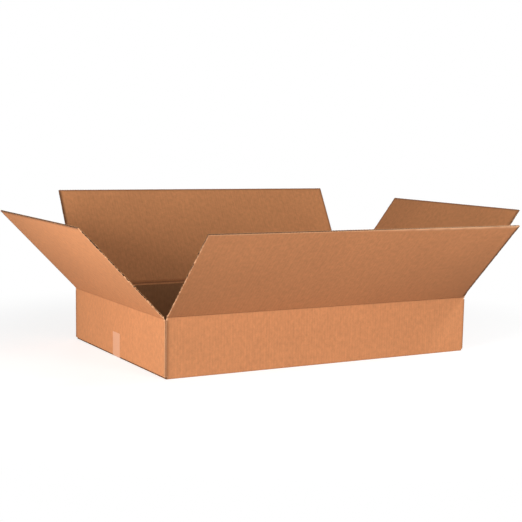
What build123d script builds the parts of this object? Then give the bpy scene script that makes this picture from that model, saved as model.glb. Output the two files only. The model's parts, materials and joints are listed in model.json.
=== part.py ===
from build123d import *
import os
from math import atan2, cos, floor, radians, sin

# A shallow slotted carton of corrugated board, set up with its four top flaps leaning outwards.
# The board is one folded sheet: four walls, a glue lap, four bottom flaps and four top flaps.
# X runs along the length, Y from the front wall to the back wall, Z upwards.
# The origin is the middle of the underside, on the surface that the carton stands on.

# Inside of the closed carton, in millimetres
inside_length = 914.4
inside_width = 609.6
inside_depth = 135.7

# Corrugated board: two liners and a fluted medium between them
board = 4.0
liner = 0.35
medium = 0.3
flute_pitch = 8.0
flute_sight = 12.0
raw_edge_depth = 1.8

# Scores, slots and the clearances between folded layers
score_gap = 0.15
score_web = 1.2
score_reach = 6.0
slot_clearance = 0.8
slot_overcut = 1.0
meeting_gap = 1.0
ply_gap = 0.3

# Folds, and the corner where the sheet is glued to itself
corner_radius = 2.5
fold_radius = 3.0
lap_width = 35.0
lap_relief = 3.0
lap_taper = 8.0
seam_recess = 0.4
seam_groove = 1.5
lap_bend = 2.5

# Sealing tape under the bottom seam and up both end walls
tape_width = 48.0
tape_thickness = 0.08
tape_rise = 68.0
tape_slack = 0.6
tape_bend = 1.2

# How far each top flap leans out from upright, in degrees
front_angle = 45.0
back_angle = 30.1
left_angle = 44.0
right_angle = 38.2

# Outside of the walls
outside_length = inside_length + 2 * board
outside_width = inside_width + 2 * board

# Heights: the long bottom flaps lie lowest with the end flaps on them, and at the top the other
# way about, so the end flaps are scored one layer lower and fold in under the long ones
long_under = tape_thickness
end_under = long_under + board + ply_gap
end_fold = end_under + board + inside_depth + board
long_fold = end_fold + board + ply_gap

# Flaps: the two long ones just meet when shut, and all four are cut off at one edge of the sheet
long_reach = (outside_width - meeting_gap) / 2
end_reach = long_reach + long_fold - end_fold
slot_inset = board + slot_clearance
long_run = outside_length - 2 * slot_inset
end_run = outside_width - 2 * slot_inset

# The four sides, each named by the direction from its wall into the carton
UP = Vector(0, 0, 1)
from_front = Vector(0, 1, 0)
from_back = Vector(0, -1, 0)
from_left = Vector(1, 0, 0)
from_right = Vector(-1, 0, 0)


def ring_profile():
    """The walls seen from above: rounded folds at three corners, the glued corner left square."""
    RectangleRounded(outside_length, outside_width, corner_radius)
    Rectangle(inside_length, inside_width, mode=Mode.SUBTRACT)
    with Locations((-outside_length / 2, -outside_width / 2)):
        Rectangle(board, board, align=(Align.MIN, Align.MIN))


def wall_ring():
    """The walls between the scores as one tube of board, its corners carried on to the slots."""
    low = end_under + fold_radius
    with BuildSketch(Plane.XY.offset(low)) as ring:
        ring_profile()
    extrude(ring.sketch, amount=end_fold - score_reach - low)

    low = end_under + slot_overcut
    with BuildSketch(Plane.XY.offset(low)) as corners:
        ring_profile()
        Rectangle(long_run, outside_width, mode=Mode.SUBTRACT)
        Rectangle(outside_length, end_run, mode=Mode.SUBTRACT)
    extrude(corners.sketch, amount=end_fold - slot_overcut - low)


def wall_with_bottom_flap(inward, distance, run, fold, under, reach):
    """One wall and its bottom flap, a bent strip of board that is crushed thin at its top score."""
    across = Plane(origin=inward * -distance, x_dir=inward, z_dir=inward.cross(UP))
    with BuildSketch(across) as strip:
        with BuildLine():
            Polyline(
                (0, under),
                (0, fold),
                (score_web, fold - score_web),
                (board, fold - score_reach),
                (board, under + board),
                (reach, under + board),
                (reach, under),
                close=True,
            )
        make_face()
        fillet(vertices().group_by(Axis.Y)[0].sort_by(Axis.X)[0], fold_radius)
    extrude(strip.sketch, amount=run / 2, both=True)


def glue_lap():
    """The front wall's lap, turned in at the corner and glued to the inside of the left wall."""
    low = end_under + board + lap_relief
    high = end_fold - board - lap_relief
    root = -inside_width / 2
    tip = -outside_width / 2 + lap_width
    with BuildSketch(Plane.YZ.offset(-inside_length / 2)) as lap:
        with BuildLine():
            Polyline(
                (root, low), (root, high), (tip, high - lap_taper), (tip, low + lap_taper), close=True
            )
        make_face()
    extrude(lap.sketch, amount=board)


def glued_seam():
    """The upright seam of the glued corner: the left wall's cut edge and the fold beside it."""
    side = -outside_length / 2
    front = -outside_width / 2
    edge = front + seam_recess
    beside = side + board
    height = long_fold - long_under
    with BuildSketch(Plane.XY.offset(long_under)) as seam:
        with BuildLine():
            Polyline(
                (side, front),
                (side, edge),
                (beside, edge),
                (beside, front + seam_groove),
                (beside + lap_bend, front),
                close=True,
            )
        make_face()
        with Locations((side + board / 2, edge)):
            Rectangle(board - 2 * liner, raw_edge_depth, align=(Align.CENTER, Align.MIN))
    extrude(seam.sketch, amount=height, mode=Mode.SUBTRACT)


def flap_blank(across, run, reach):
    """A top flap as a plain panel, crushed to a thin edge along its score."""
    with BuildSketch(across) as panel:
        with BuildLine():
            Polyline(
                (score_gap, 0),
                (score_gap + score_web, score_web),
                (score_reach, board),
                (reach, board),
                (reach, 0),
                close=True,
            )
        make_face()
    extrude(panel.sketch, amount=run / 2, both=True)


def side_cuts(across, run, reach):
    """The slot cuts run along the flutes, so each opens one flute between the two liners."""
    start = score_reach + board
    for side in (-1, 1):
        with BuildSketch(across.offset(side * run / 2)) as opened_flute:
            with Locations((start, board / 2)):
                Rectangle(reach - start, board - 2 * liner, align=(Align.MIN, Align.CENTER))
        extrude(opened_flute.sketch, amount=-side * raw_edge_depth, mode=Mode.SUBTRACT)


def open_flutes(across, run, reach):
    """The free edge is cut across the flutes: a row of channels on each side of the medium."""
    height = board - 2 * liner
    slope = atan2(height, flute_pitch / 2)
    half_base = flute_pitch / 2 - medium / 2 / sin(slope)
    depth = height - medium / 2 / cos(slope)
    count = floor((run - 2 * raw_edge_depth) / flute_pitch)
    free_edge = Plane(
        origin=across.from_local_coords((reach, board / 2, 0)), x_dir=across.z_dir, z_dir=across.x_dir
    )
    with BuildSketch(free_edge) as channels:
        for side, flutes in ((1, count), (-1, count - 1)):
            base = side * height / 2
            crown = base - side * depth
            with GridLocations(flute_pitch, flute_pitch, flutes, 1):
                Polygon((-half_base, base), (half_base, base), (0, crown), align=None)
    extrude(channels.sketch, amount=-flute_sight, mode=Mode.SUBTRACT)


def top_flap(name, inward, distance, run, fold, reach, lean):
    """One top flap, hinged on the outer face of its wall and leaning outwards from upright."""
    turn = radians(lean)
    along = UP * cos(turn) - inward * sin(turn)
    hinge = inward * -distance + UP * fold
    across = Plane(origin=hinge, x_dir=along, z_dir=UP.cross(inward))
    with BuildPart() as flap:
        flap_blank(across, run, reach)
        side_cuts(across, run, reach)
        open_flutes(across, run, reach)
    flap.part.label = name
    return flap.part


os.makedirs("parts", exist_ok=True)

with BuildPart() as box_body:
    wall_ring()
    for inward in (from_front, from_back):
        wall_with_bottom_flap(inward, outside_width / 2, long_run, long_fold, long_under, long_reach)
    for inward in (from_left, from_right):
        wall_with_bottom_flap(inward, outside_length / 2, end_run, end_fold, end_under, end_reach)
    glue_lap()
    glued_seam()
box_body.part.label = "box_body"
export_step(box_body.part, "parts/box_body.step")

# Each row is a flap's name, its side, how far its wall stands from the middle, and its own sizes
long_flap = (outside_width / 2, long_run, long_fold, long_reach)
end_flap = (outside_length / 2, end_run, end_fold, end_reach)
for name, inward, sizes, lean in (
    ("front_flap", from_front, long_flap, front_angle),
    ("back_flap", from_back, long_flap, back_angle),
    ("left_flap", from_left, end_flap, left_angle),
    ("right_flap", from_right, end_flap, right_angle),
):
    export_step(top_flap(name, inward, *sizes, lean), f"parts/{name}.step")

# The tape runs under the seam of the long bottom flaps and turns up against both end walls
wall_face = outside_length / 2 + tape_thickness
floor_turn = long_run / 2 + tape_slack
wall_turn = end_under + tape_slack
with BuildPart() as bottom_tape:
    with BuildSketch(Plane.XZ):
        with BuildLine():
            FilletPolyline(
                (-wall_face, tape_rise),
                (-wall_face, wall_turn),
                (-floor_turn, 0),
                (floor_turn, 0),
                (wall_face, wall_turn),
                (wall_face, tape_rise),
                radius=tape_bend,
            )
            offset(amount=tape_thickness, side=Side.LEFT)
        make_face()
    extrude(amount=tape_width / 2, both=True)
bottom_tape.part.label = "bottom_tape"
export_step(bottom_tape.part, "parts/bottom_tape.step")
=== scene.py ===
import json
from math import ceil, cos, pi, radians, sin

import bpy
import numpy as np
from mathutils import Matrix, Vector


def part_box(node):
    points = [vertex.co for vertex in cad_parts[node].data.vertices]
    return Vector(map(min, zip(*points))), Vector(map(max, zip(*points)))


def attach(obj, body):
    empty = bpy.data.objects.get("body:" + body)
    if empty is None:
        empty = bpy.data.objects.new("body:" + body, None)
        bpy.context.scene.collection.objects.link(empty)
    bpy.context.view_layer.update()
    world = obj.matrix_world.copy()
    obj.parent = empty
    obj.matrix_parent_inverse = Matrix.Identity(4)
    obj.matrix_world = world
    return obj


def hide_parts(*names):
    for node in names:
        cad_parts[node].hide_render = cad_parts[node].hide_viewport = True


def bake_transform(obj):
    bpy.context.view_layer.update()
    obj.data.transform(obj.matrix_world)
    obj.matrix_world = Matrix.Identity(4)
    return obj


# A shallow slotted carton of corrugated board, standing open with its four top flaps leaning out.
# Metres throughout: +X along the length, +Y from the front wall to the back wall, +Z up, and the
# origin in the middle of the underside, on the surface that the carton stands on.
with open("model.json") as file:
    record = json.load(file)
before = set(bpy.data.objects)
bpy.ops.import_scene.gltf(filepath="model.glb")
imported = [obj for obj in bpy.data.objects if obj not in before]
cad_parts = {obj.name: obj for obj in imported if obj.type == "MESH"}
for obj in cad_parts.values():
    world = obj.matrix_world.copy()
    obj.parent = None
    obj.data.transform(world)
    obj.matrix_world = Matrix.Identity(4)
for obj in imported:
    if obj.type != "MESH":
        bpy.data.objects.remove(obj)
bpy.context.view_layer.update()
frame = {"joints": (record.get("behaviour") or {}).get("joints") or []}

# The board: two liners glued to a fluted medium, and the steps that their meshes take across it
BOARD = 0.004
LINER = 0.00035
MEDIUM = 0.0003
GLUE_SINK = 0.00004
FLUTE = 0.008
WASHBOARD = 0.00007
LINER_STEP = FLUTE / 4
MEDIUM_STEP = FLUTE / 8
SHARP_EDGE = radians(34)

# Scores, folds, slots and the glued corner, fitted to the frame's own solids. The flats are how
# far out from a score or a fold the liners are pressed flat
SCORE_REACH = 0.006
SCORE_WEB = 0.0012
SCORE_SHOULDER = 0.0012
SCORE_GROOVE, GROOVE_REACH = 0.00045, 0.0008
SCORE_BEAD, BEAD_PLACE, BEAD_REACH = 0.00005, 0.0026, 0.0011
SCORE_WANDER, WANDER_WAVE, WANDER_REACH, WANDER_SEED = 0.00012, 0.031, 0.002, 31
SCORE_FLAT = 0.009
TURN = 0.002
PLY_GAP = 0.0003
FOLD_RADIUS = 0.003
FOLD_FLAT = 0.006
PAST_FOLD = 0.002
INNER_FOLD = 0.0004
CORNER_RADIUS = 0.0025
SLOT_END = 0.001
SEAM_RECESS = 0.0004
LAP_BEND = 0.0027
LAP_WIDTH = 0.035
LAP_SHOULDER = 0.0029
LAP_TAPER = 0.014
LAP_FILM = 0.0001
LAP_SEAM = 0.0007
# Where the flutes fall on the lap and at the left wall's cut end, and the points of each arc
LAP_PHASE, SEAM_PHASE = 0.001, 0.0004
FOLD_POINTS, CORNER_POINTS = 7, 6

# The packing tape's turns, its slack over the folds and the teeth across its ends
TAPE_BEND = 0.0012
TAPE_SLACK = 0.0006
TOOTH = 0.0009
TEETH = 24
CLIMB_ROWS, FLOOR_ROWS = 12, 40

# Where the points lie, closer together where the board is crushed or cut: out along a top flap,
# back from its free edge, in from its slots, down a wall, up from the bottom fold, in along a
# bottom flap, back from that flap's end, off a score, along the lap and back from its tip, off
# the slot and the cut end at the glued corner, and as shares of a corner's height
FLAP_OUTS = np.array((0.006, 0.009, 0.016, 0.04, 0.08, 0.12, 0.16, 0.2, 0.24, 0.27, 0.29))
FLAP_TIP = np.array((0.01, 0.006, 0.0035, 0.002, 0.0012, 0.0006, 0))
SLOT_INS = np.array((6.4, 4.4, 3.0, 1.9, 1.1, 0.5, 0)) / 1000
SLOT_STRIP = 0.0064
SLOT_ROWS = 0.0013
WALL_DOWNS = np.array((0.006, 0.009, 0.016, 0.04, 0.07, 0.1, 0.125, 0.138))
WALL_UPS = (0.0072, 0.0052)
FLOOR_INS = np.array((0.0055, 0.008, 0.016, 0.06, 0.13, 0.2, 0.26))
FLOOR_TIP = np.array((0.012, 0.005, 0.002, 0.0009, 0))
SCORE_OFFS = np.array((6, 4.6, 3.4, 2.6, 2, 1.5, 1, 0.5)) / 1000
LAP_INS, LAP_TIP = (0.006, 0.013), (0.012, 0.003, 0)
SEAM_INS = (0.0015, 0.001)
CORNER_SHARES = np.array((0, 0.008, 0.03, 0.12, 0.3, 0.5, 0.7, 0.88, 0.97, 0.992, 1))
# Which of those rows the medium has, because it runs straight between them
FLAP_MEDIUM_ROWS = np.array((0, 3, 7, 11, 13, 15, 17))
WALL_MEDIUM_ROWS = np.array((0, 3, 7, 9, 11, 13, 15, 17, 19, 23, 25, 28))
EVERY_ROW = slice(None)

# How far behind an open end the medium starts, how unevenly it sits there, and how far off on
# the pattern the inner liner and the medium are drawn, so that no two sheets look the same
SET_BACK = 0.0008
RECESS, RECESS_WAVE, RECESS_SEED = 0.0007, 0.006, 11
INNER_SHEET, MEDIUM_SHEET = 3.1, 7.3

# How rough a cut edge is: the free edges are cut clean, the slots are punched and half crushed.
# A pair is a start and what is added to it as a share goes from 0 to 1
KNIFE_WAVE, KNIFE_LONG_WAVE = 0.0023, 0.019
PINCH, PINCH_REACH, PINCH_ROUGH = 0.08, 0.0013, (0.6, 0.8)
RAGGED, RAGGED_REACH = 0.0003, 0.004
SCALLOP, SCALLOP_REACH = 0.0011, 0.0025
SLOT_WAVE, SLOT_LONG_WAVE, SLOT_LONG_SHARE = 0.0036, 0.013, 0.4
SLOT_PINCH, SLOT_CRUSH_FADE = 0.6, 0.75
SLOT_CRUSH_LEAST, SLOT_CRUSH_MOST = 0.05, 1.25
SLOT_RAGGED, SLOT_RAGGED_REACH = 0.0019, 0.002
CLEAN_SHARE = 0.3

# Fraying: where along the front flap's free edge it starts and is full, to the right of its
# middle, and how it widens and strengthens that edge's pale line, its swing and its medium
FRAY_PLACES = (-0.1, 0.16)
FRAY_WIDTH, FRAY_STRENGTH, FRAY_SWING = (1, 1.5), (0.9, 0.5), (0.2, 0.4)
FRAY_CREST, FRAY_WAVE = 0.35, 0.0135
FRAY_MEDIUM, FRAY_MEDIUM_REACH = (0.1, 1.2), 0.0045
# Tufts along a pale slot, and the even share of them that a slot's painted shade is drawn with
TUFT_MIDDLE, TUFT_SWING, TUFT_WAVE, TUFT_CLEAN = 0.5, 0.9, 0.0042, 0.7
TUFT_WIDTH, TUFT_STRENGTH = (0.7, 0.8), (0.35, 0.85)
TUFT_REACH, TUFT_MEDIUM = 0.003, 0.5

# What the knife left on each flap's free edge and on its two slots, low and high across: 1 for
# raised pale fibres, -1 for painted shade on an edge rolled over away from the light, below
# that for deeper painted shade
CUT_TONES = {
    "front": (1.0, -3.0, 1.0),
    "back": (-1.0, -2.0, -1.0),
    "left": (-1.0, 1.0, -2.2),
    "right": (-1.0, -1.0, -1.0),
}
# How far in the marks of a cut fade: pale fibres, painted shade, and the pale fibres of the
# walls and of the glued corner, where the board is pale inside too
PALE_REACH, DARK_REACH = 0.0019, 0.0045
WALL_PALE_REACH = 0.0022
SEAM_PALE_REACH = 0.0016
SEAM_PALE_INSIDE, SEAM_PALE = 0.004, 1.25
MEDIUM_BACK_PALE = 0.3

# How dark each top score is, in a line and a fainter band round it: partly its crushed fibres,
# partly painted shade of its groove. Then the painted shade of the upright folds at the corners
# and at the glued corner: a share, and how far from the corner it fades
SCORE_SHADE = {"front": 0.6, "back": 1.0, "left": 0.5, "right": 0.8}
SCORE_LINE, SCORE_BAND, SCORE_BAND_SHARE = 0.0014, 0.006, 0.1
UNSHADED = (0.0, 0.001)
FOLD_SHADE = (0.9, 0.005)
FAR_FOLD_SHADE = (0.8, 0.011)
GLUED_SHADE = (1.6, 0.0084)

# How much shade is painted on the front flap's foot at places to the right of its middle, and
# how far out along the flap that has faded
FOOT_PLACES = (-0.45, -0.3, 0.0, 0.3, 0.45)
FOOT_SHADES = (0.36, 0.16, 0.1, 0.28, 0.5)
FOOT_FADE = 0.26

UP = np.array((0.0, 0.0, 1.0))
INWARD = {
    "front": np.array((0.0, 1.0, 0.0)),
    "back": np.array((0.0, -1.0, 0.0)),
    "left": np.array((1.0, 0.0, 0.0)),
    "right": np.array((-1.0, 0.0, 0.0)),
}

# The kinds of a mesh's faces, as the places of their finishes in its list
OUTER, INNER, FLUTED, CUT = range(4)


class Side:
    """One side of the carton: its wall and its top flap, measured from the frame at rest.

    The flap leans out by what its joint's shut end leaves over a right angle. Its reach is its
    height above the hinge, less the board's own share, over the cosine of that lean.
    """

    def __init__(self, name):
        joint = next(j for j in frame["joints"] if j["child"] == name)
        low, high = (np.array(corner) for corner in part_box(name + "_flap"))
        self.name = name
        self.inward = INWARD[name]
        self.sideways = np.cross(UP, self.inward)
        self.hinge = np.array(joint["pos_m"], float)
        self.lean = radians(-joint["range_deg"][0] - 90)
        self.out = UP * cos(self.lean) - self.inward * sin(self.lean)
        self.facing_in = self.inward * cos(self.lean) + UP * sin(self.lean)
        self.run = float(abs((high - low) @ self.sideways))
        self.reach = (high[2] - self.hinge[2] - BOARD * sin(self.lean)) / cos(self.lean)
        self.fold = self.hinge[2]


SIDES = {name: Side(name) for name in INWARD}
body_low, body_high = (np.array(corner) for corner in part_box("box_body"))
tape_low, tape_high = (np.array(corner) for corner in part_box("bottom_tape"))
HALF_LENGTH = float(body_high[0])
HALF_WIDTH = float(body_high[1])
LONG_UNDER = float(body_low[2])
END_UNDER = LONG_UNDER + BOARD + PLY_GAP
CORNER_LOW = END_UNDER + SLOT_END
CORNER_HIGH = SIDES["left"].fold - SLOT_END
# Half the run of each pair of walls, from slot to slot
LONG_HALF = SIDES["front"].run / 2
END_HALF = SIDES["left"].run / 2
# The front wall stops where the glued corner's fold begins
LAP_START = -HALF_LENGTH + 2 * BOARD + LAP_SEAM
# The tape fills the space under the bottom flaps
TAPE = LONG_UNDER


def waver(distance, wavelength, seed):
    """A smooth random curve from -1 to 1: random heights one wavelength apart, eased between."""
    distance = np.asarray(distance, float)
    place = (distance - distance.min()) / wavelength
    heights = np.random.default_rng(seed).uniform(-1, 1, int(ceil(place.max())) + 3)
    left = np.floor(place).astype(int)
    share = place - left
    share = share * share * (3 - 2 * share)
    return heights[left] * (1 - share) + heights[left + 1] * share


def rough(distance, seed, wavelength=KNIFE_WAVE):
    """How far a knife cut wanders, from 0 to 1: a short wave and a long one, added."""
    short = waver(distance, wavelength, seed)
    long = waver(distance, KNIFE_LONG_WAVE, seed + 1)
    return 0.5 + 0.3 * short + 0.2 * long


def even(start, end, step):
    """Points from start to end, as near to step apart as divides the length evenly."""
    return np.linspace(start, end, max(2, round(abs(end - start) / step) + 1))


def near(distance, reach):
    """1 at a line and fading with the distance from it, as a bell of that reach."""
    return np.exp(-((distance / reach) ** 2))


def grown(pair, share):
    """The pair's start, plus what it adds times the share."""
    return pair[0] + pair[1] * share


def carried(line, sideways, across):
    """A line of points carried sideways: one row of the grid for each point."""
    return line[:, None, :] + across[None, :, None] * sideways


def travelled(line):
    """How far along a line of points each one lies: the straight steps before it, added up."""
    steps = np.linalg.norm(np.diff(line, axis=0), axis=1)
    return np.concatenate(((0,), np.cumsum(steps)))


def quarter(points):
    """Points round a quarter circle of radius 1: the sine and the cosine of even steps."""
    angles = np.linspace(0, pi / 2, points)
    return np.stack((np.sin(angles), np.cos(angles)), -1)


class Shells:
    """Closed shells of board gathered into one mesh, with what their finishes read."""

    def __init__(self):
        self.points, self.faces, self.kinds = [], [], []
        self.sheet, self.fold, self.cut = [], [], []
        self.count = 0

    def slab(self, first, second, sheet, fold, cut, kinds):
        """Two grids of points that face away from each other, joined by a rim round both.

        The first grid's faces, the second's and the rim's each have a kind, which is their
        finish, and the cut's wear and painted shade may be a pair, one for each grid. All faces
        turn over together where the first grid would face the second.
        """
        shape = first.shape[:2]
        size = shape[0] * shape[1]
        grid = np.arange(size).reshape(shape)
        front = np.stack((grid[:-1, :-1], grid[:-1, 1:], grid[1:, 1:], grid[1:, :-1]), -1)
        front = front.reshape(-1, 4)
        edge = np.concatenate((grid[0], grid[1:, -1], grid[-1, -2::-1], grid[-2:0:-1, 0]))
        onward = np.roll(edge, -1)
        rim = np.stack((onward, edge, edge + size, onward + size), -1)
        faces = np.concatenate((front, front[:, ::-1] + size, rim))
        turn = np.cross(first[:-1, 1:] - first[:-1, :-1], first[1:, :-1] - first[:-1, :-1])
        if np.sum(turn * (first - second)[:-1, :-1]) < 0:
            faces = faces[:, ::-1]
        self.points.append(np.concatenate((first.reshape(-1, 3), second.reshape(-1, 3))))
        self.faces.append(faces + self.count)
        self.kinds.append(np.repeat(kinds, (len(front), len(front), len(rim))))
        cuts = cut if isinstance(cut, tuple) else (cut, cut)
        stores = ((self.sheet, sheet, sheet), (self.fold, fold, fold), (self.cut, *cuts))
        for store, *grids in stores:
            for values in grids:
                each = np.shape(values)[2:]
                store.append(np.broadcast_to(values, shape + each).reshape((size,) + each))
        self.count += 2 * size

    def make(self, name, finishes):
        """One object at the origin, its place in its mesh, shaded smooth up to its sharp edges."""
        mesh = bpy.data.meshes.new(name)
        faces = np.concatenate(self.faces)
        mesh.from_pydata(np.concatenate(self.points), [], faces)
        for finish in finishes:
            mesh.materials.append(finish)
        mesh.polygons.foreach_set("material_index", np.concatenate(self.kinds).astype(np.int32))
        mesh.polygons.foreach_set("use_smooth", np.ones(len(faces), bool))
        sheet = mesh.uv_layers.new(name="sheet")
        sheet.data.foreach_set("uv", np.concatenate(self.sheet)[faces.ravel()].ravel())
        for wear, values in (("fold_wear", self.fold), ("cut_wear", self.cut)):
            layer = mesh.attributes.new(wear, "FLOAT", "POINT")
            layer.data.foreach_set("value", np.concatenate(values).astype(np.float32))
        mesh.set_sharp_from_angle(angle=SHARP_EDGE)
        mesh.validate()
        piece = bpy.data.objects.new(name, mesh)
        bpy.context.scene.collection.objects.link(piece)
        return piece


def finer(grid, across, wanted):
    """A grid's columns read at other distances across it, straight between its own columns."""
    right = np.clip(np.searchsorted(across, wanted), 1, len(across) - 1)
    share = (wanted - across[right - 1]) / (across[right] - across[right - 1])
    share = share.reshape((1, -1) + (1,) * (grid.ndim - 2))
    return grid[:, right - 1] * (1 - share) + grid[:, right] * share


def add_board(
    shells, outer, inner, across, along, fold, cut, flat,
    keep=EVERY_ROW, open_ends=(1, 1), hidden=(0.0, 0.0), recess=RECESS,
):
    """Corrugated board between an outer and an inner grid of points.

    Each liner is a slab of its own thickness under its face. Between two crests of the medium
    that hold it, a liner sinks by the washboard depth, less where flat is near 1. The medium is
    a sheet whose depth is half the board's, less a cosine of the distance across with one period
    a flute, as high as the liners leave room for. Its own thickness is laid off square to that
    wave, and at an open end it stops short of the liners by the set-back, give or take up to the
    recess. Hidden is how pale a cut has left the liners' hidden faces, and the medium's face
    towards the outer liner.
    """
    size = outer.shape[:2]
    through = inner - outer
    depth = np.linalg.norm(through, axis=-1, keepdims=True)
    through = through / depth
    along = np.broadcast_to(np.asarray(along, float).reshape(size[0], -1), size)
    sink = (WASHBOARD * (1 - flat))[..., None]
    crest = np.cos(2 * pi * across / FLUTE)[None, :, None]
    sheet = np.stack((np.broadcast_to(across, size), along), -1)
    wear = (cut, hidden[0])
    face = outer + through * sink * (1 - crest) / 2
    shells.slab(face, face + through * LINER, sheet, fold, wear, (OUTER, FLUTED, CUT))
    face = inner - through * sink * (1 + crest) / 2
    sheet = sheet + INNER_SHEET
    shells.slab(face, face - through * LINER, sheet, fold, wear, (INNER, FLUTED, CUT))

    start = across[0] + open_ends[0] * SET_BACK
    end = across[-1] - open_ends[1] * SET_BACK
    wanted = even(start, end, MEDIUM_STEP)
    pale = np.broadcast_to(hidden[1], size)
    under, way, room, length, pale = (
        finer(grid[keep], across, wanted)
        for grid in (outer, through, depth, along[..., None], pale[..., None])
    )
    for column, beside in ((0, 1), (-1, -2)):
        if open_ends[column]:
            short = waver(length[:, column, 0], RECESS_WAVE, RECESS_SEED + column)
            short = recess * short / MEDIUM_STEP
            under[:, column] += (under[:, beside] - under[:, column]) * short[:, None]
    phase = (2 * pi * wanted / FLUTE)[None, :, None]
    height = np.maximum(room / 2 - LINER - MEDIUM / 2 + GLUE_SINK, 0)
    slope = height * 2 * pi / FLUTE * np.sin(phase)
    half = MEDIUM / 2 * np.sqrt(1 + slope**2)
    middle = under + way * (room / 2 - height * np.cos(phase))
    sheet = np.concatenate((np.broadcast_to(wanted[None, :, None], length.shape), length), -1)
    sheet = sheet + MEDIUM_SHEET
    pale = pale[..., 0]
    wear = (pale, MEDIUM_BACK_PALE * pale)
    kinds = (FLUTED, FLUTED, CUT)
    shells.slab(middle - way * half, middle + way * half, sheet, 0 * pale, wear, kinds)


def fold_corner_shade(distance, wear_and_shade):
    """How much shade is painted on an upright fold at a distance from its corner: a share that
    fades outwards.
    """
    share, reach = wear_and_shade
    return share * near(distance, reach)


def cut_wear(distance, tone):
    """The mark at a distance from a cut: pale fibres, narrow, or painted shade where the edge is
    rolled over away from the light, a little wider.
    """
    return tone * near(distance, np.where(np.asarray(tone) < 0, DARK_REACH, PALE_REACH))


def score_shade_and_crush(distance, side):
    """How dark a top score is at a distance from it: a dark line, and a faint band round it.
    Partly its crushed fibres, partly painted shade of its groove.
    """
    band = SCORE_BAND_SHARE * near(distance, SCORE_BAND)
    return SCORE_SHADE[side.name] * (near(distance, SCORE_LINE) + band)


def foot_painted_shade(side, outs, across):
    """How much shade is painted on the front flap's foot: most towards its ends, and fading evenly
    outwards.
    """
    if side.name != "front":
        return 0 * across
    share = np.interp(-across, FOOT_PLACES, FOOT_SHADES)
    return share * np.clip(1 - np.asarray(outs)[:, None] / FOOT_FADE, 0, 1)


def flap_part(shells, side, outs, across, seed, open_ends, keep=EVERY_ROW):
    """One part of a top flap beyond its score, a flat panel on the leaning direction.

    A point lies at its distance out along the flap and its depth through the board. Towards the
    free edge and the slots both faces are pinched together, evenly at the free edge and by
    fits and starts along a slot, more so towards the fold, and the edge wanders by the knife's
    roughness. Between the crests that hold it, a liner's free edge is notched by the scallop's
    depth, as half of 1 less a cosine. The front flap's free edge is the more frayed the nearer
    it is to the right, most on the crests. A pale slot is frayed in places, a dark one is clean.
    """
    outer = carried(side.hinge + outs[:, None] * side.out, side.sideways, across)
    free = side.reach - outs[:, None] + 0 * across
    edge = side.run / 2 - np.abs(across) + 0 * outs[:, None]
    free_tone, low_tone, high_tone = CUT_TONES[side.name]
    slot_tone = np.where(across < 0, low_tone, high_tone)
    raggedness = np.where(slot_tone < 0, CLEAN_SHARE, 1.0)

    uneven = SLOT_LONG_SHARE * waver(outs, SLOT_LONG_WAVE, seed + 2)
    uneven = (uneven + waver(outs, SLOT_WAVE, seed + 3))[:, None] * raggedness
    crushed = 1.0 - SLOT_CRUSH_FADE * outs[:, None] / side.reach + uneven
    crushed = np.clip(crushed, SLOT_CRUSH_LEAST, SLOT_CRUSH_MOST)
    pinch = BOARD * np.maximum(
        PINCH * near(free, PINCH_REACH) * grown(PINCH_ROUGH, rough(across, seed)),
        SLOT_PINCH * near(edge, PINCH_REACH) * crushed,
    )
    shorter = RAGGED * rough(across, seed + 4) * near(free, RAGGED_REACH)
    narrower = SLOT_RAGGED * rough(outs, seed + 6, SLOT_WAVE)[:, None]
    narrower = narrower * near(edge, SLOT_RAGGED_REACH) * np.sign(across) * raggedness
    outer = outer - shorter[..., None] * side.out - narrower[..., None] * side.sideways
    crest = np.cos(2 * pi * across / FLUTE)
    notch = SCALLOP * near(free, SCALLOP_REACH)[..., None] / 2 * side.out
    inner = outer + side.facing_in * (BOARD - pinch / 2)[..., None] - notch * (1 + crest)[:, None]
    outer = outer + side.facing_in * (pinch / 2)[..., None] - notch * (1 - crest)[:, None]

    frayed = 0 * across
    if side.name == "front":
        frayed = np.interp(-across, FRAY_PLACES, (0.0, 1.0))
    tufts = np.clip(TUFT_MIDDLE + TUFT_SWING * waver(outs, TUFT_WAVE, seed + 8), 0, 1)[:, None]
    tufts = np.where(slot_tone < 0, TUFT_CLEAN, tufts)
    # A cut tone below 0 paints shade along the edge, as on an edge rolled over away from the light
    if free_tone > 0:
        swing = grown(FRAY_SWING, frayed) * waver(across, FRAY_WAVE, seed + 9)
        scuffed = grown(FRAY_STRENGTH, frayed) * (1 + FRAY_CREST * crest + swing)
        at_free = cut_wear(free / grown(FRAY_WIDTH, frayed), scuffed)
    else:
        at_free = cut_wear(free, free_tone)
    at_slot = cut_wear(edge / grown(TUFT_WIDTH, tufts), slot_tone) * grown(TUFT_STRENGTH, tufts)
    nearest = free < edge
    cut = np.where(nearest, at_free, at_slot)
    frayed_slot = near(edge, TUFT_REACH) * tufts**2 * (slot_tone > 0)
    frayed_free = near(free, FRAY_MEDIUM_REACH) * grown(FRAY_MEDIUM, frayed)
    medium = np.where(nearest, frayed_free, TUFT_MEDIUM * frayed_slot)
    hidden = (np.where(nearest, 0.0, frayed_slot), medium)
    # Painted shade: the score's groove, over its crushed fibres, and the front flap's foot
    fold = score_shade_and_crush(outs, side)[:, None] + foot_painted_shade(side, outs, across)
    flat = near(outs, SCORE_FLAT)[:, None] + 0 * across
    add_board(shells, outer, inner, across, outs, fold, cut, flat, keep, open_ends, hidden)


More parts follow.
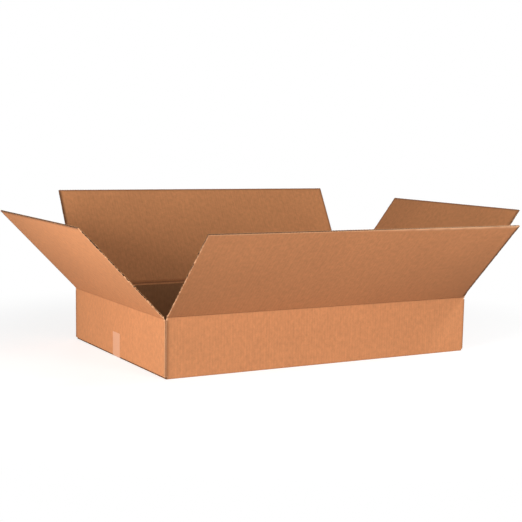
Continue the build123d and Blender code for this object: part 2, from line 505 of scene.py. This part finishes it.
def top_flap(side, finishes, seed):
    """A top flap: its broad middle, and a narrow part with closer rows along each slot."""
    tip = side.reach - FLAP_TIP
    strip_end = side.run / 2 - SLOT_STRIP
    middle = even(-strip_end, strip_end, LINER_STEP)
    outs = np.concatenate((FLAP_OUTS, tip))
    shells = Shells()
    flap_part(shells, side, outs, middle, seed, (0, 0), FLAP_MEDIUM_ROWS)
    outs = np.concatenate((even(FLAP_OUTS[0], tip[0], SLOT_ROWS), tip[1:]))
    steps = SLOT_STRIP - SLOT_INS
    flap_part(shells, side, outs, strip_end + steps, seed + 40, (0, 1))
    flap_part(shells, side, outs, -strip_end - steps[::-1], seed + 50, (1, 0))
    return shells.make(side.name + "_flap_board", finishes)


def wall(side, finishes, under, reach, half, ends, wear_and_shade):
    """A wall below its score and the bottom flap that it turns into.

    The outer line runs down the wall, round a quarter circle and in along the underside, and
    the inner line runs beside it one board away, round a much tighter quarter circle. Half is
    how far the corners are from the middle, and each end of the wall has its place and the
    share and reach of the shade painted on its fold there.
    """
    distance = -(side.hinge @ side.inward)
    heights = np.concatenate((side.fold - WALL_DOWNS, [under + up for up in WALL_UPS]))
    ins = np.concatenate((FLOOR_INS, reach - FLOOR_TIP))
    arc = 1 - quarter(FOLD_POINTS)[:, ::-1]
    flat_out = np.stack((0 * heights, heights - under), -1)
    flat_in = flat_out + (BOARD, 0)
    floor_out = np.stack((ins, 0 * ins), -1)
    floor_in = floor_out + (0, BOARD)
    line_out = np.concatenate((flat_out, FOLD_RADIUS * arc, floor_out))
    line_in = np.concatenate((flat_in, BOARD + INNER_FOLD * arc, floor_in))
    across = even(-side.run / 2, side.run / 2, LINER_STEP)
    outer, inner = (
        carried(
            side.inward * (line[:, :1] - distance) + UP * (line[:, 1:] + under),
            side.sideways, across,
        )
        for line in (line_out, line_in)
    )
    upright = len(heights) - 1
    for grid in (outer, inner):
        grid[:upright, 0] += side.sideways * (ends[0] - across[0])
        grid[:upright, -1] += side.sideways * (ends[1] - across[-1])

    along = -WALL_DOWNS[0] - travelled(line_out)
    edge = side.run / 2 - np.abs(across)
    free = reach - np.concatenate((0 * heights, 0 * arc[:, 0], ins))
    past_fold = line_out[:, :1] > PAST_FOLD
    cut = np.maximum(
        near(free, WALL_PALE_REACH)[:, None] + 0 * across,
        near(edge, WALL_PALE_REACH) * past_fold,
    )
    fold_middle = along[len(heights) + len(arc) // 2]
    crushed = np.maximum(near(along, SCORE_FLAT), near(along - fold_middle, FOLD_FLAT))
    flat = np.maximum(crushed[:, None] + 0 * across, near(edge, FOLD_FLAT))
    upright_share = np.clip(line_out[:, 1:] / FOLD_RADIUS, 0, 1)
    low_shade, high_shade = (fold_corner_shade(half - np.abs(across), end) for end in wear_and_shade)
    at_corner = np.where(across < 0, low_shade, high_shade)
    # Painted shade: the score's groove, over its crushed fibres, and the upright folds at the
    # corners
    fold = score_shade_and_crush(along, side)[:, None] + at_corner * upright_share
    shells = Shells()
    add_board(shells, outer, inner, across, along, fold, cut, flat, WALL_MEDIUM_ROWS)
    return shells.make(side.name + "_wall", finishes)


def crease(side, finishes):
    """The crushed board along a top score, from the wall's top to the flap's foot.

    Its outer face follows the wall and then the flap, with a groove on the fold between two low
    beads. Its depth is the thin web's near the fold and grows evenly to the full board at both
    ends, never more than the distance from the fold once past the web, so that it can shut.
    """
    places = np.concatenate((-SCORE_OFFS, (0,), SCORE_OFFS[::-1]))
    size = np.abs(places)
    below = places[:, None] < 0
    bases = side.hinge + size[:, None] * np.where(below, -UP, side.out)
    facings = np.where(below, side.inward, side.facing_in)
    middle = side.inward * cos(side.lean / 2) + UP * sin(side.lean / 2)
    share = np.clip(size / TURN, 0, 1)[:, None]
    facings = facings * share + middle * (1 - share)
    facings = facings / np.linalg.norm(facings, axis=1, keepdims=True)
    groove = SCORE_GROOVE * near(places, GROOVE_REACH)
    groove = groove - SCORE_BEAD * near(size - BEAD_PLACE, BEAD_REACH)
    depths = np.interp(size, (0, SCORE_SHOULDER, SCORE_REACH), (SCORE_WEB, SCORE_WEB, BOARD))
    across = even(-side.run / 2, side.run / 2, LINER_STEP)
    wander = SCORE_WANDER * waver(across, WANDER_WAVE, WANDER_SEED)
    wander = wander * near(places, WANDER_REACH)[:, None]
    outer = carried(bases + facings * groove[:, None], side.sideways, across)
    inner = carried(bases + facings * depths[:, None], side.sideways, across)
    outer = outer + wander[..., None] * UP
    edge = side.run / 2 - np.abs(across)
    sheet = np.stack(np.meshgrid(across, places), -1)
    # Painted shade on the front flap's foot, above the score
    foot_shade = foot_painted_shade(side, places, across) * (places[:, None] > 0)
    fold = np.clip(score_shade_and_crush(places, side)[:, None] + foot_shade, 0, 1)
    cut = near(edge, WALL_PALE_REACH) + 0 * places[:, None]
    shells = Shells()
    shells.slab(outer, inner, sheet, fold, cut, (OUTER, INNER, CUT))
    return shells.make(side.name + "_crease", finishes)


def upright_board(shells, plans, lows, highs, open_ends, wear_and_shade, phase=0.0, inside_reach=0.0):
    """Board standing between two lines seen from above, from its low ends to its high ends.

    The plans' points are the grid's columns, and each column's heights run evenly between its
    own two ends, closer together near them. The corner's fold has shade painted on it by the
    given share and reach, and inside_reach is how deep the board is pale within an open end.
    """
    plans = [np.array(plan, float) for plan in plans]
    across = travelled(plans[0]) + phase
    lows, highs = np.broadcast_to(lows, len(across)), np.broadcast_to(highs, len(across))
    heights = lows + (highs - lows) * CORNER_SHARES[:, None]
    outer, inner = (
        np.concatenate((np.broadcast_to(plan, heights.shape + (2,)), heights[..., None]), -1)
        for plan in plans
    )
    end = np.minimum(heights - lows, highs - heights)
    cut, pale = near(end, WALL_PALE_REACH), 0 * heights
    for open_end, distance in zip(open_ends, (across - across[0], across[-1] - across)):
        if open_end:
            cut = np.maximum(cut, near(distance, SEAM_PALE_REACH))
        if open_end and inside_reach:
            pale = SEAM_PALE * near(distance, inside_reach) + 0 * heights
    from_corner = np.linalg.norm(np.abs(plans[0]) - (HALF_LENGTH, HALF_WIDTH), axis=1)
    # Painted shade on the corner's fold
    fold = fold_corner_shade(from_corner, wear_and_shade) + 0 * heights
    add_board(
        shells, outer, inner, across, heights, fold, cut, 1 + 0 * heights,
        open_ends=open_ends, hidden=(pale, pale), recess=0.0 if inside_reach else RECESS,
    )


def round_corner(sign_x, sign_y):
    """A folded upright corner seen from above: outside a small arc, inside a tight one."""
    corner = np.array((HALF_LENGTH, HALF_WIDTH))
    arc = 1 - quarter(CORNER_POINTS)
    outer = corner - CORNER_RADIUS * arc
    inner = corner - BOARD - INNER_FOLD * arc
    outer = np.concatenate(([(LONG_HALF, corner[1])], outer, [(corner[0], END_HALF)]))
    inner = np.concatenate(
        ([(LONG_HALF, corner[1] - BOARD)], inner, [(corner[0] - BOARD, END_HALF)])
    )
    return outer * (sign_x, sign_y), inner * (sign_x, sign_y)


def glue_lap(shells):
    """The lap that turns in from the front wall's end and is glued behind the left wall.

    Seen from above, it starts level with the front wall, turns a quarter circle outside and a
    much tighter one inside, and runs on along the left wall. Its height is cut back by a taper
    that grows evenly from the bend to the shoulder and from there to the tip.
    """
    glued = -HALF_LENGTH + BOARD + LAP_FILM
    root = np.array((glued + LAP_BEND, -HALF_WIDTH + LAP_BEND))
    arc = root - LAP_BEND * quarter(FOLD_POINTS)
    inside = np.array((glued + BOARD, -HALF_WIDTH + BOARD))
    tight = inside + INNER_FOLD * (1 - quarter(FOLD_POINTS))
    tip = -HALF_WIDTH + LAP_WIDTH
    places = [-HALF_WIDTH + step for step in LAP_INS] + [tip - step for step in LAP_TIP]
    further = np.array([(glued, place) for place in places])
    outer = np.concatenate(([(LAP_START, -HALF_WIDTH)], arc, further))
    inner = np.concatenate(([(LAP_START, -HALF_WIDTH + BOARD)], tight, further + (BOARD, 0)))
    taper = np.interp(
        outer[:, 1], (-HALF_WIDTH + LAP_BEND, places[0], tip), (0, LAP_SHOULDER, LAP_TAPER)
    )
    top = SIDES["front"].fold - SCORE_REACH - taper
    low = CORNER_LOW + taper
    upright_board(shells, (outer, inner), low, top, (0, 1), GLUED_SHADE, phase=LAP_PHASE)


def corners(finishes):
    """The three folded corners, the left wall's cut end and the lap that is glued behind it."""
    shells = Shells()
    for signs, wear_and_shade in (((1, -1), FOLD_SHADE), ((1, 1), FOLD_SHADE), ((-1, 1), FAR_FOLD_SHADE)):
        upright_board(shells, round_corner(*signs), CORNER_LOW, CORNER_HIGH, (0, 0), wear_and_shade)
    slot = -END_HALF
    cut_end = -HALF_WIDTH + SEAM_RECESS
    places = (slot, slot - SEAM_INS[0], cut_end + SEAM_INS[1], cut_end)
    plan = np.array([(-HALF_LENGTH, place) for place in places])
    upright_board(
        shells, (plan, plan + (BOARD, 0)), CORNER_LOW, CORNER_HIGH, (0, 1), UNSHADED,
        phase=SEAM_PHASE, inside_reach=SEAM_PALE_INSIDE,
    )
    glue_lap(shells)
    return shells.make("corner_folds", finishes)


def rounded(line, radius, steps=5):
    """A line of straight runs with each corner rounded: points of a quadratic curve that starts
    and ends one radius short of the corner and leans on it."""
    points = [line[0]]
    for before, corner, after in zip(line, line[1:], line[2:]):
        back, on = before - corner, after - corner
        start = corner + back / np.linalg.norm(back) * radius
        end = corner + on / np.linalg.norm(on) * radius
        for t in np.linspace(0, 1, steps):
            points.append(start * (1 - t) ** 2 + 2 * corner * t * (1 - t) + end * t**2)
    points.append(line[-1])
    return np.array(points)


def sealing_tape(finishes):
    """The tape as a thin strip on its own line: down one end wall, under the seam and up again.

    Each point of the strip lies on the line, its thickness is laid off square to it, and the
    last row at each end is cut to teeth by a triangular wave across the width.
    """
    side, top = float(tape_high[0]), float(tape_high[2])
    floor_turn = LONG_HALF + TAPE_SLACK
    wall_turn = END_UNDER + TAPE_SLACK
    rise = [(-side, top), (-side, wall_turn), (-floor_turn, 0)]
    run = rise + [(-x, z) for x, z in rise[::-1]]
    line = rounded([np.array(point) for point in run], TAPE_BEND)
    between = np.linspace(0, 1, CLIMB_ROWS)[1:-1]
    climb = np.stack((0 * between - side, top + (line[1, 1] - top) * between), -1)
    along = np.linspace(-floor_turn, floor_turn, FLOOR_ROWS)[1:-1]
    floor = np.stack((along, np.zeros(len(along))), -1)
    half = len(line) // 2
    left = (line[:1], climb, line[1:half])
    right = (line[half:-1], (climb * (-1, 1))[::-1], line[-1:])
    line = np.concatenate((*left, floor, *right))
    ahead = np.gradient(line, axis=0)
    ahead = ahead / np.linalg.norm(ahead, axis=1, keepdims=True)
    inside = np.stack((-ahead[:, 1], ahead[:, 0]), -1)
    across = np.linspace(tape_low[1], tape_high[1], 2 * TEETH + 1)
    under, over = (
        np.stack(np.broadcast_arrays(edge[:, :1], across, edge[:, 1:]), -1)
        for edge in (line, line + inside * TAPE)
    )
    teeth = TOOTH * (np.arange(len(across)) % 2)
    for grid in (under, over):
        grid[0, :, 2] -= teeth
        grid[-1, :, 2] -= teeth
    sheet = np.stack(np.meshgrid(across, travelled(line)), -1)
    unworn = np.zeros(under.shape[:2])
    shells = Shells()
    shells.slab(under, over, sheet, unworn, unworn, (0, 0, 0))
    return shells.make("sealing_tape", finishes)


class Value:
    """A number or a vector that varies over a surface. Python's operators add Math nodes."""

    def __init__(self, finish, socket):
        self.finish, self.socket = finish, socket

    def math(self, operation, *values):
        """A Math node on numbers and values."""
        return self.finish.node("ShaderNodeMath", values, operation=operation)

    def __add__(self, other):
        return self.math("ADD", self, other)

    def __sub__(self, other):
        return self.math("SUBTRACT", self, other)

    def __rsub__(self, other):
        return self.math("SUBTRACT", other, self)

    def __mul__(self, other):
        return self.math("MULTIPLY", self, other)

    __radd__ = __add__
    __rmul__ = __mul__

    def larger(self, other):
        """The larger of two numbers."""
        return self.math("MAXIMUM", self, other)

    def above(self, low, high):
        """0 below low, 1 above high and eased between."""
        inputs = {"Value": self, "From Min": low, "From Max": high}
        return self.finish.node("ShaderNodeMapRange", inputs, interpolation_type="SMOOTHSTEP")


class Finish:
    """The nodes of one material, or of the world, and the shader that they feed."""

    def __init__(self, owner, shader="Principled BSDF"):
        owner.use_nodes = True
        self.owner = owner
        self.nodes = owner.node_tree.nodes
        self.links = owner.node_tree.links
        self.shader = self.nodes[shader]

    def node(self, kind, inputs=(), output=0, **settings):
        """A node of that type, its settings put in first, then its sockets' values or links."""
        made = self.nodes.new(kind)
        for name, setting in settings.items():
            setattr(made, name, setting)
        self.feed(made, inputs)
        return Value(self, made.outputs[output])

    def feed(self, node, inputs):
        """Values or links for a node's sockets, which are given by name or in their order."""
        named = inputs.items() if isinstance(inputs, dict) else enumerate(inputs)
        for name, value in named:
            if isinstance(value, Value):
                self.links.new(value.socket, node.inputs[name])
            else:
                node.inputs[name].default_value = value

    def mix(self, factor, first, second):
        """A colour between two others, by the factor."""
        inputs = {0: factor, 6: first, 7: second}
        return self.node(
            "ShaderNodeMix", inputs, output=2, data_type="RGBA", clamp_factor=True
        )

    def noise(self, vector, scale, detail=2.0, stretch=(1, 1, 1), roughness=0.55):
        """Noise from 0 to 1, its features one over the scale in size along each axis, and longer
        by one over the stretch."""
        vector = self.node("ShaderNodeVectorMath", (vector, stretch), operation="MULTIPLY")
        inputs = {"Vector": vector, "Scale": scale, "Detail": detail, "Roughness": roughness}
        return self.node("ShaderNodeTexNoise", inputs)

    def wear_and_shade(self, name):
        """One of the mesh's own attributes, which carry wear and painted shade."""
        return self.node("ShaderNodeAttribute", output="Fac", attribute_name=name)

    def relief(self, height, strength, distance):
        """A bump from heights between 0 and 1, of that strength and distance."""
        inputs = {"Strength": strength, "Distance": distance, "Height": height}
        return self.node("ShaderNodeBump", inputs)


def paint(red, green, blue):
    """A display colour from 0 to 255 as the linear colour that a shader takes."""
    levels = np.array((red, green, blue)) / 255
    linear = np.where(levels <= 0.04045, levels / 12.92, ((levels + 0.055) / 1.055) ** 2.4)
    return (*linear, 1.0)


def toned(colour, by):
    """A colour made lighter or darker by a factor."""
    return (*(min(1.0, part * by) for part in colour[:3]), 1.0)


# How much of a paper's tone each of its patterns makes, the darkest and lightest that it gets,
# and the tones of its flecks, of painted shade and crushed fibres, and of fibres that are torn
CLOUDS, MOTTLE, STREAKS, FIBRES = 0.4, 1.3, 0.28, 1.2
PAPER_DARK, PAPER_LIGHT = 0.8, 1.2
FLECK_TONE, FLECK_SHARE, FLECK_RANGE = 0.55, 0.5, (0.69, 0.76)
SHADE_AND_CRUSH_TONE = 0.3
RAW_FIBRE = paint(242, 187, 143)
PAPER_GLOSS, FILM_GLOSS = 0.28, 0.5
FILM_DARK, FILM_LIGHT, BUBBLE_TONE = 0.86, 1.14, 1.3


def paper(
    name, colour, contrast=1.0, roughness=0.86, raw_share=0.9, rolled_shade_share=0.9, flute_shade=0.05
):
    """Kraft paper: soft clouds, mottling, faint streaks along the flutes, fibres and flecks.

    All patterns but the clouds follow the sheet, so they run on over its folds. A cosine of the
    distance across the flutes paints a little shade between them, where the washboard's hollows
    would be shaded. Cut edges are paler where the fibres stand up; where they are rolled over,
    which is a wear below 0, painted shade darkens them, as a face turned away from the light. The
    scores are darker, partly where the knife crushed them and partly as painted shade of the
    groove.
    """
    finish = Finish(bpy.data.materials.new(name))
    sheet = finish.node("ShaderNodeUVMap", uv_map="sheet")
    place = finish.node("ShaderNodeTexCoord", output="Object")
    clouds = finish.noise(place, 7.0, detail=3.0)
    mottle = finish.noise(sheet, 105.0, detail=4.0, stretch=(1.0, 0.7, 1.0), roughness=0.62)
    streaks = finish.noise(sheet, 330.0, stretch=(1.0, 0.02, 1.0))
    fibres = finish.noise(sheet, 1500.0, detail=5.0, stretch=(1.0, 0.32, 1.0), roughness=0.7)
    flecks = finish.noise(sheet, 610.0, detail=1.0, stretch=(1.0, 0.5, 1.0))
    across = finish.node("ShaderNodeSeparateXYZ", (sheet,))
    flutes = across.math("COSINE", across * (2 * pi / FLUTE))
    tone = (clouds - 0.5) * (CLOUDS * contrast)
    for pattern, share in ((mottle, MOTTLE), (streaks, STREAKS), (fibres, FIBRES)):
        tone = tone + (pattern - 0.5) * (share * contrast)
    # A little painted shade between the flutes, where the washboard's hollows would be shaded
    tone = tone + flutes * flute_shade

    # The colour of painted shade, and of crushed fibres
    crushed = toned(colour, SHADE_AND_CRUSH_TONE)
    mixed = finish.mix(tone + 0.5, toned(colour, PAPER_DARK), toned(colour, PAPER_LIGHT))
    fleck_share = flecks.above(*FLECK_RANGE) * FLECK_SHARE
    mixed = finish.mix(fleck_share, mixed, toned(colour, FLECK_TONE))
    cut = finish.wear_and_shade("cut_wear")
    mixed = finish.mix(cut * (0.4 + fibres * 0.8) * raw_share, mixed, RAW_FIBRE)
    # Painted shade where a cut edge is rolled over, away from the light
    mixed = finish.mix(cut * -rolled_shade_share, mixed, crushed)
    # Painted shade along the folds: the scores' grooves over their crushed fibres, the upright
    # corners and the front flap's foot
    mixed = finish.mix(finish.wear_and_shade("fold_wear") * (0.5 + mottle * 0.4), mixed, crushed)
    finish.feed(finish.shader, {
        "Base Color": mixed,
        "Roughness": (mottle - 0.5) * 0.12 + roughness,
        "Specular IOR Level": PAPER_GLOSS,
        "Normal": finish.relief(fibres * 0.6 + mottle * 0.4, 0.55, 0.00012),
    })
    return finish.owner


def film(name, colour):
    """Clear packing tape on kraft: the board's mottling under a smooth film with fine wrinkles."""
    finish = Finish(bpy.data.materials.new(name))
    sheet = finish.node("ShaderNodeUVMap", uv_map="sheet")
    mottle = finish.noise(sheet, 95.0, detail=4.0, stretch=(1.0, 0.45, 1.0), roughness=0.62)
    fibres = finish.noise(sheet, 1100.0, detail=3.0, stretch=(0.5, 1.0, 1.0))
    wrinkles = finish.noise(sheet, 55.0, stretch=(1.0, 0.25, 1.0))
    bubbles = finish.noise(sheet, 420.0, detail=1.0).above(0.62, 0.72)
    tone = (mottle - 0.5) * 0.35 + (fibres - 0.5) * 0.3 + 0.5
    mixed = finish.mix(tone, toned(colour, FILM_DARK), toned(colour, FILM_LIGHT))
    finish.feed(finish.shader, {
        "Base Color": finish.mix(bubbles * 0.35, mixed, toned(colour, BUBBLE_TONE)),
        "Roughness": bubbles * 0.12 + (mottle - 0.5) * 0.08 + 0.34,
        "Specular IOR Level": FILM_GLOSS,
        "Normal": finish.relief(wrinkles + bubbles * 0.2, 0.6, 0.0003),
    })
    return finish.owner


outer_kraft = paper("outer_kraft", paint(204, 137, 91))
inner_kraft = paper("inner_kraft", paint(198, 134, 87), contrast=1.1, raw_share=0.3)
# The walls' inside faces: the inner liner's paper painted darker, as painted shade deep in the
# open carton
inside_kraft = paper("inside_kraft", paint(155, 111, 74), contrast=1.1, raw_share=0.3)
# The medium and the liners' hidden faces: a darker paper, painted darker still as the shade deep
# in the flutes; only a cut's mouth is pale
fluted_medium = paper(
    "fluted_medium", paint(56, 31, 16), contrast=1.3, roughness=0.92, flute_shade=0.0
)
cut_board = paper(
    "cut_board", paint(222, 166, 122), contrast=1.8, roughness=0.95, rolled_shade_share=0.35, flute_shade=0.0
)
tape_film = film("tape_film", paint(214, 149, 106))
BOARD_FINISHES = [outer_kraft, inner_kraft, fluted_medium, cut_board]
WALL_FINISHES = [outer_kraft, inside_kraft, fluted_medium, cut_board]

# Each wall's name, its underside, its bottom flap's reach and its corners' distance from the
# middle, where its two ends are and the painted shade on the folds there
LONG_WALL = (LONG_UNDER, SIDES["front"].reach, HALF_LENGTH)
END_WALL = (END_UNDER, SIDES["left"].reach, HALF_WIDTH)
wall_pieces = [
    wall(SIDES[name], WALL_FINISHES, *sizes, ends, wear_and_shade)
    for name, sizes, ends, wear_and_shade in (
        ("front", LONG_WALL, (-LONG_HALF, -LAP_START), (FOLD_SHADE, GLUED_SHADE)),
        ("back", LONG_WALL, (-LONG_HALF, LONG_HALF), (FOLD_SHADE, FOLD_SHADE)),
        ("left", END_WALL, (-END_HALF, END_HALF), (UNSHADED, FAR_FOLD_SHADE)),
        ("right", END_WALL, (-END_HALF, END_HALF), (FOLD_SHADE, FOLD_SHADE)),
    )
]
wall_pieces.append(corners(WALL_FINISHES))
for piece in wall_pieces:
    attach(piece, "box")
    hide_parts("box_body")
for number, side in enumerate(SIDES.values()):
    flap = top_flap(side, BOARD_FINISHES, 100 + 20 * number)
    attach(flap, side.name)
    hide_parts(side.name + "_flap")
    strip = crease(side, BOARD_FINISHES)
    middle = (UP + side.out) / np.linalg.norm(UP + side.out)
    side.hinge - middle * TURN
    side.hinge + middle * TURN
    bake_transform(strip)
tape = sealing_tape([tape_film])
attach(tape, "box")
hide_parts("bottom_tape")


# The floor: pale and matt where it carries the carton's shadow, plain white further off
FLOOR_SIZE = 30.0
FLOOR_WHITE = 0.3
FLOOR_SEEN = 1.8
SHADOW_SHARE = 0.24
SHADOW_NEAR = 0.7
SHADOW_FAR = 1.35
WHITE = (1.0, 1.0, 1.0, 1.0)


def seen_directly(finish):
    """1 for rays from the camera or off gloss or through glass, 0 for those that light things."""
    camera, gloss, through = (
        finish.node("ShaderNodeLightPath", output=name)
        for name in ("Is Camera Ray", "Is Glossy Ray", "Is Transmission Ray")
    )
    return camera.larger(gloss).larger(through)


def floor_finish():
    """Matt pale paint that lights the carton from below. Seen directly, it is lifted so that it
    is white wherever the lamps reach it, and it is mixed with plain white light: some of it near
    the carton, all of it beyond the reach of the shadow."""
    finish = Finish(bpy.data.materials.new("studio_floor"))
    finish.nodes.remove(finish.shader)
    place = finish.node("ShaderNodeTexCoord", output="Object")
    distance = finish.node("ShaderNodeVectorMath", (place,), output="Value", operation="LENGTH")
    white_share = distance.above(SHADOW_NEAR, SHADOW_FAR) * SHADOW_SHARE + (1 - SHADOW_SHARE)
    seen = seen_directly(finish)
    pale = finish.mix(seen, (FLOOR_WHITE,) * 3 + (1.0,), (FLOOR_SEEN,) * 3 + (1.0,))
    matt = finish.node("ShaderNodeBsdfDiffuse", {"Color": pale})
    glow = finish.node("ShaderNodeEmission", {"Color": WHITE, "Strength": 1.0})
    both = finish.node("ShaderNodeMixShader", (white_share * seen, matt, glow))
    finish.feed(finish.nodes["Material Output"], {"Surface": both})
    return finish.owner


def stage_floor():
    """A flat square under the carton, from minus to plus half its size along X and Y."""
    mesh = bpy.data.meshes.new("studio_floor")
    half = FLOOR_SIZE / 2
    points = [(-half, -half, 0), (half, -half, 0), (half, half, 0), (-half, half, 0)]
    mesh.from_pydata(points, [], [(0, 1, 2, 3)])
    mesh.materials.append(floor_finish())
    floor = bpy.data.objects.new("studio_floor", mesh)
    bpy.context.scene.collection.objects.link(floor)


def stage_world(level):
    """An even soft light from all round, seen directly as plain white."""
    world = bpy.data.worlds.new("studio_world")
    bpy.context.scene.world = world
    finish = Finish(world, "Background")
    inputs = {0: seen_directly(finish), 2: level, 3: 1.0}
    strength = finish.node("ShaderNodeMix", inputs, data_type="FLOAT")
    finish.feed(finish.shader, {"Color": WHITE, "Strength": strength})


def lamp(name, place, aim, size, power):
    """A square soft lamp at a place, facing a point."""
    data = bpy.data.lights.new(name, "AREA")
    data.shape = "SQUARE"
    data.size = size
    data.energy = power
    made = bpy.data.objects.new(name, data)
    made.visible_camera = False
    made.location = place
    made.rotation_mode = "QUATERNION"
    made.rotation_quaternion = (Vector(aim) - Vector(place)).to_track_quat("-Z", "Y")
    bpy.context.scene.collection.objects.link(made)


WORLD_LIGHT = 0.1
MIDDLE = (0.0, 0.0, 0.15)
stage_floor()
stage_world(WORLD_LIGHT)
# Each lamp's name, its place, what it faces, how wide it is and its watts
for row in (
    ("left_low", (-3.0, -1.6, 0.58), MIDDLE, 1.12, 73.0),
    ("left_near", (-1.5, -0.3, 0.15), (-0.57, 0.0, 0.27), 0.28, 4.3),
    ("front_low", (0.3, -2.3, 0.6), MIDDLE, 0.9, 26.5),
    ("right_high", (0.8, -1.0, 1.2), (0.35, -0.1, 0.1), 0.2, 5.6),
    ("top_soft", (0.2, 0.0, 3.2), MIDDLE, 2.0, 5.5),
    ("back_low", (1.0, 3.2, 0.58), MIDDLE, 1.1, 36.0),
):
    lamp(*row)

# The camera, fitted to the photograph's 522 by 522 frame: its focal length and its centre in
# pixels, its place, and how it turns to the right, upwards and about its own axis
PHOTO = 522
FOCAL_PIXELS = 1134.2
CENTRE_PIXELS = (285.0, 300.0)
SENSOR = 36.0
CAMERA_PLACE = (-1.5840, -2.7747, 0.5906)
YAW, PITCH, ROLL = radians(30.58), radians(-8.21), radians(1.17)


def photo_camera():
    """A camera whose axes are worked out from its three turns, as columns of its matrix."""
    data = bpy.data.cameras.new("photo_camera")
    data.sensor_width = SENSOR
    data.lens = FOCAL_PIXELS * SENSOR / PHOTO
    data.shift_x = (PHOTO / 2 - CENTRE_PIXELS[0]) / PHOTO
    data.shift_y = (CENTRE_PIXELS[1] - PHOTO / 2) / PHOTO
    data.clip_start, data.clip_end = 0.05, 60.0
    camera = bpy.data.objects.new("photo_camera", data)
    bpy.context.scene.collection.objects.link(camera)
    ahead = np.array((sin(YAW) * cos(PITCH), cos(YAW) * cos(PITCH), sin(PITCH)))
    level = np.array((cos(YAW), -sin(YAW), 0.0))
    above = np.cross(level, ahead)
    right_hand = level * cos(ROLL) + above * sin(ROLL)
    overhead = above * cos(ROLL) - level * sin(ROLL)
    axes = np.stack((right_hand, overhead, -ahead), axis=1)
    camera.matrix_world = Matrix.Translation(CAMERA_PLACE) @ Matrix(axes.tolist()).to_4x4()
    return camera


bpy.context.scene.camera = photo_camera()
bpy.context.scene.view_settings.view_transform = "Standard"
